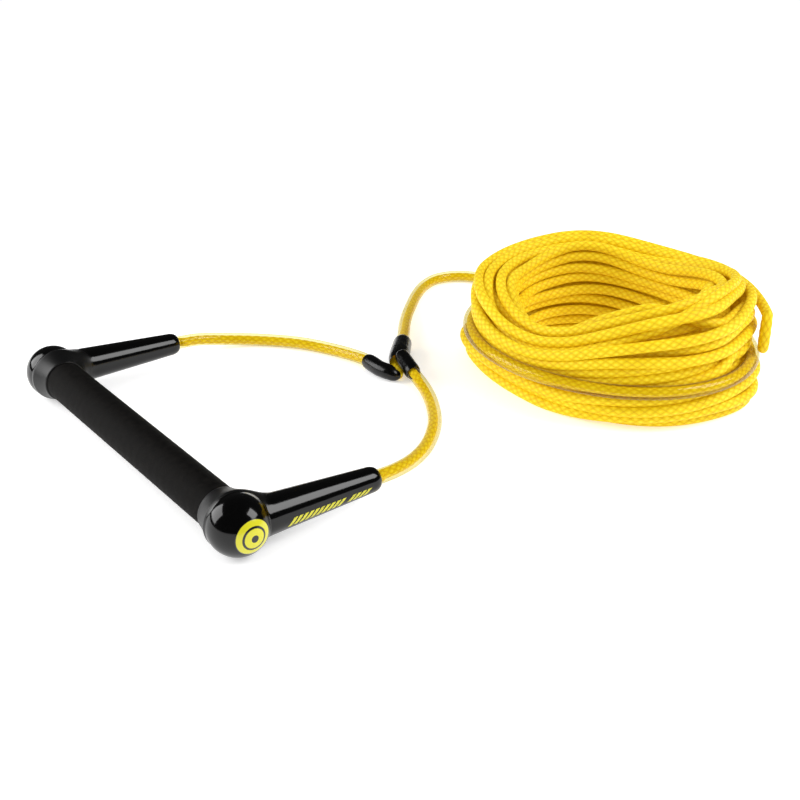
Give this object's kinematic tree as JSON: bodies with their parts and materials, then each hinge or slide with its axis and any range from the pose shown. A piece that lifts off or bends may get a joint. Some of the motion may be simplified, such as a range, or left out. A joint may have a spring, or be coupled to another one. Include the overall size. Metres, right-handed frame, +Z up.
{
  "type": "tow rope handle",
  "caption": "Water-sports tow handle: rubber-gripped bar between black end caps with arms, a tubed rope bridle spliced at black sleeves, and a coiled yellow tow line.",
  "frame": {"origin": "on the floor under the middle of the rigid handle", "axes": "+X along the bar from the left end cap to the right one, +Y from the bar towards the rope, +Z up from the floor"},
  "size_m": [0.3604, 0.4798, 0.0841],
  "materials": {
    "rubber": "matte, finely textured",
    "aluminium": "mill finish, hidden in the grip",
    "cap_plastic": "polished black, collar slightly satin",
    "badge_print": "plain yellow disc with a black ring",
    "clear_tubing": "clear, slightly yellowed soft tubing",
    "rope": "bright yellow hollow braid",
    "sleeve_film": "black heat-shrink film, satin"
  },
  "bodies": {
    "handle": {"core_tube": "aluminium", "grip_sleeve": "rubber", "end_cap_left": "cap_plastic", "end_cap_right": "cap_plastic", "end_badge_left": "badge_print", "end_badge_right": "badge_print", "bar_rope": "rope", "tube_end_left": "clear_tubing", "tube_end_right": "clear_tubing"},
    "bridle": {"bridle_tube_left": "clear_tubing", "bridle_tube_right": "clear_tubing", "bridle_rope_left": "rope", "bridle_rope_right": "rope", "sleeve_left": "sleeve_film", "sleeve_right": "sleeve_film", "sleeve_main": "sleeve_film", "bare_rope": "rope", "splice_core": "rope", "line_tube_end": "clear_tubing", "line_rope_end": "rope"},
    "line": {"line_tube": "clear_tubing", "line_rope": "rope", "rope_coil": "rope", "boat_end_eye": "rope"}
  },
  "joints": [
    {"name": "bridle_swing", "type": "hinge", "parent": "handle", "child": "bridle", "pos_m": [0, 0.061, 0.0147], "axis": [1, 0, 0], "range_deg": [-45, 45], "deforming": ["bridle_tube_left", "bridle_tube_right", "bridle_rope_left", "bridle_rope_right"]},
    {"name": "line_swing", "type": "hinge", "parent": "bridle", "child": "line", "pos_m": [-0.038, 0.2165, 0.007], "axis": [0, 0, 1], "range_deg": [-15, 60], "deforming": ["line_tube", "line_rope"]}
  ]
}
